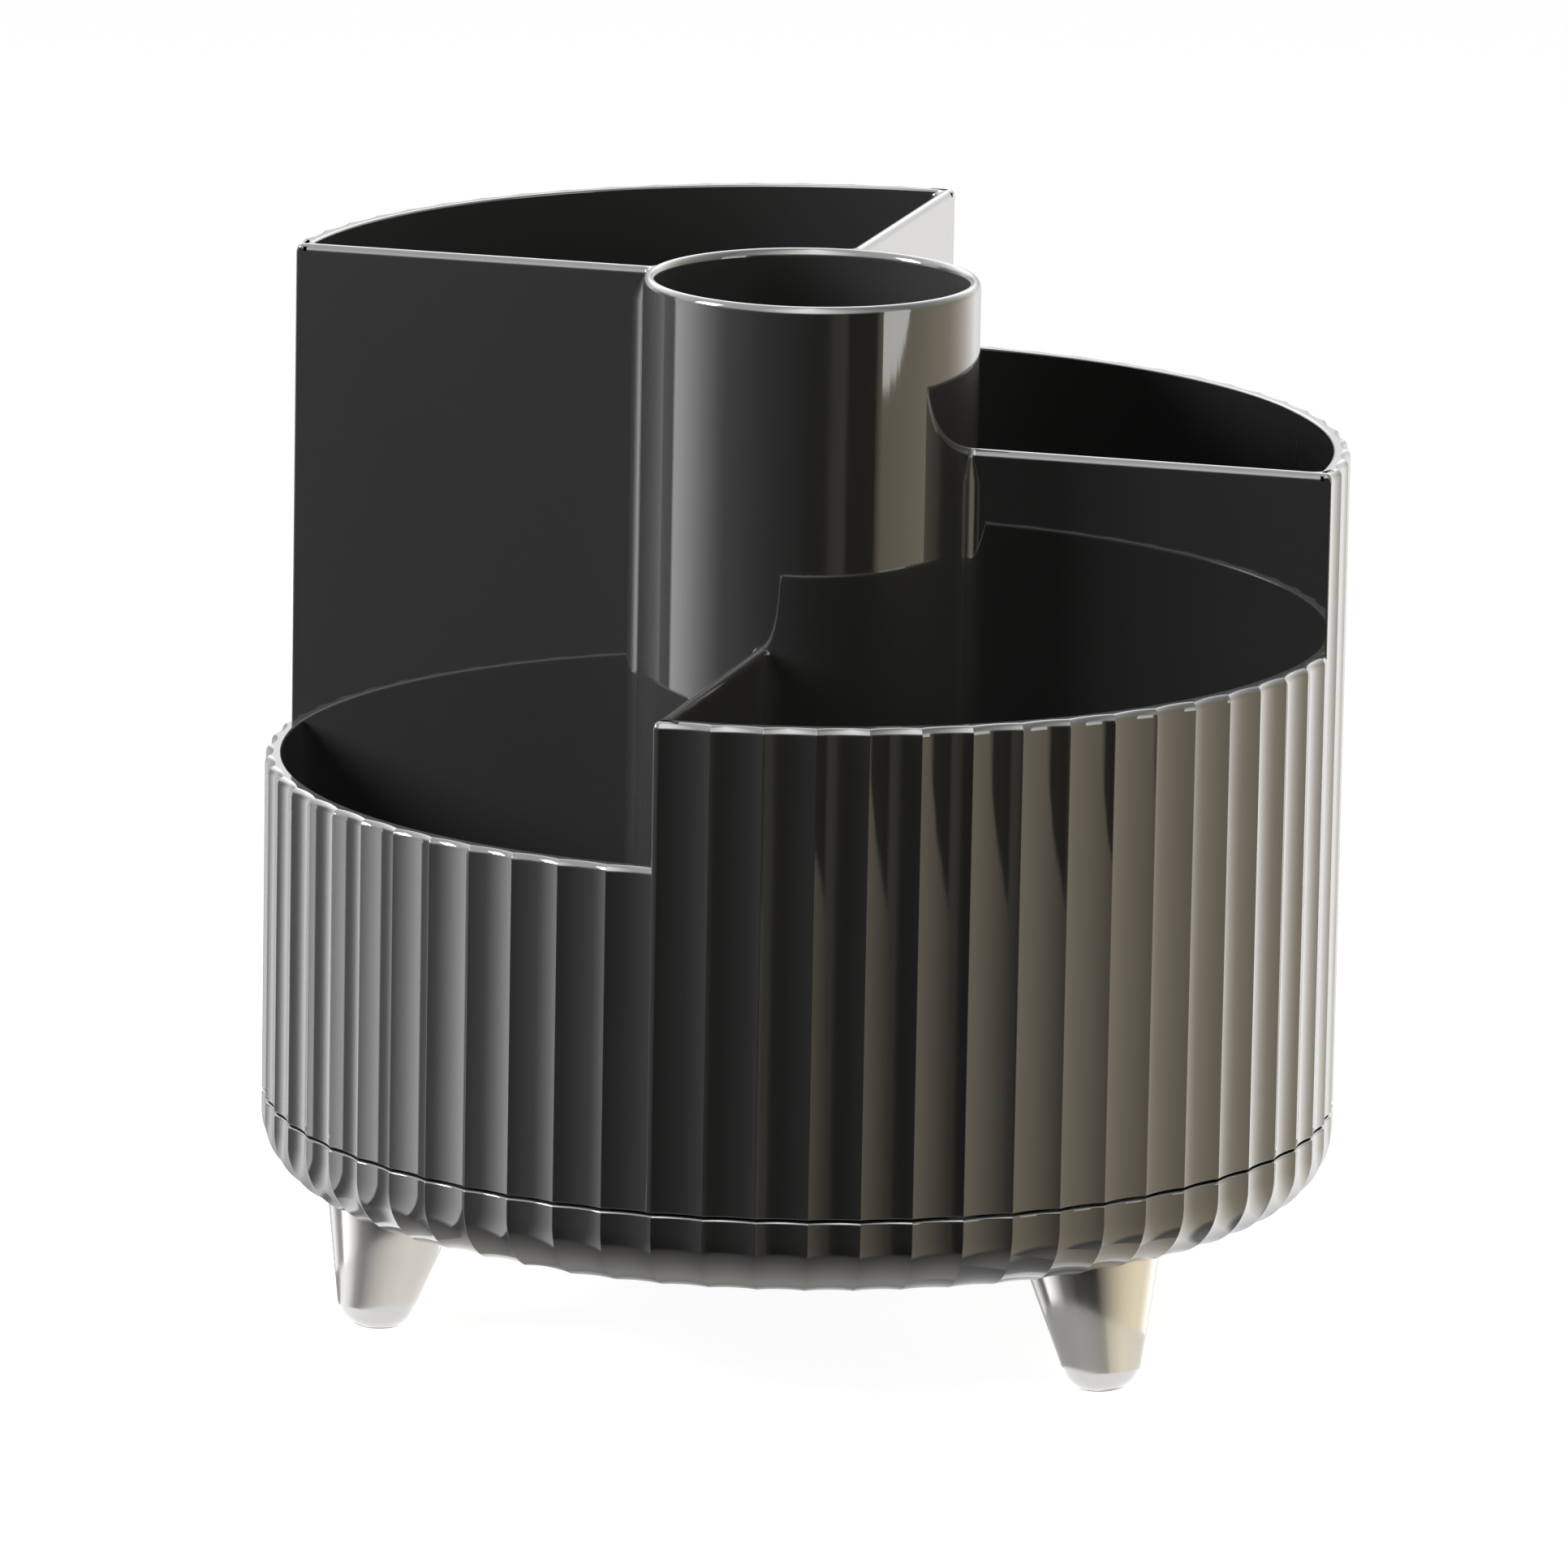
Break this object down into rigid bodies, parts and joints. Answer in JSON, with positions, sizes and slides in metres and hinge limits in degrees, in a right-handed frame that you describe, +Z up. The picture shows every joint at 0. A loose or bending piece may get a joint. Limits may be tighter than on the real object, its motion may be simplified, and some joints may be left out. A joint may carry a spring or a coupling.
{
  "type": "rotating makeup organizer",
  "caption": "Round fluted desktop organizer with stepped open compartments around a centre tube, turning on a footed base.",
  "frame": {"origin": "on the table, on the turning axis: the centre of the underside of the object's box", "axes": "+Z up along the turning axis; at rest the front divider, between the lowest and the next section, points along -Y; +X is to the right of someone facing that side"},
  "size_m": [0.1498, 0.15, 0.1465],
  "materials": {
    "body_black": "high gloss",
    "foot_chrome": "polished",
    "ring_aluminium": "turned",
    "screw_steel": "zinc plated",
    "ball_steel": "polished",
    "cage_plastic": "moulded",
    "insert_brass": "turned"
  },
  "bodies": {
    "base": {"inner_bearing_ring": "ring_aluminium", "base_screws": "screw_steel", "base_dish": "body_black", "front_left_foot": "foot_chrome", "front_right_foot": "foot_chrome", "rear_foot": "foot_chrome", "foot_inserts": "insert_brass", "foot_washers": "screw_steel", "foot_screws": "screw_steel"},
    "rotor": {"center_tube": "body_black", "front_divider": "body_black", "right_divider": "body_black", "rear_divider": "body_black", "left_divider": "body_black", "tall_wall": "body_black", "mid_wall": "body_black", "low_wall": "body_black", "lowest_wall": "body_black", "body_floor": "body_black", "outer_bearing_ring": "ring_aluminium", "body_screws": "screw_steel"},
    "ball_race": {"ball_cage": "cage_plastic", "bearing_balls": "ball_steel"}
  },
  "joints": [
    {"name": "rotor_spin", "type": "hinge", "parent": "base", "child": "rotor", "pos_m": [0, 0, 0.02795], "axis": [0, 0, 1], "continuous": true},
    {"name": "cage_spin", "type": "hinge", "parent": "base", "child": "ball_race", "pos_m": [0, 0, 0.02795], "axis": [0, 0, 1], "continuous": true}
  ],
  "couplings": [
    {"joint": "cage_spin", "follows": "rotor_spin", "ratio": 0.5}
  ]
}
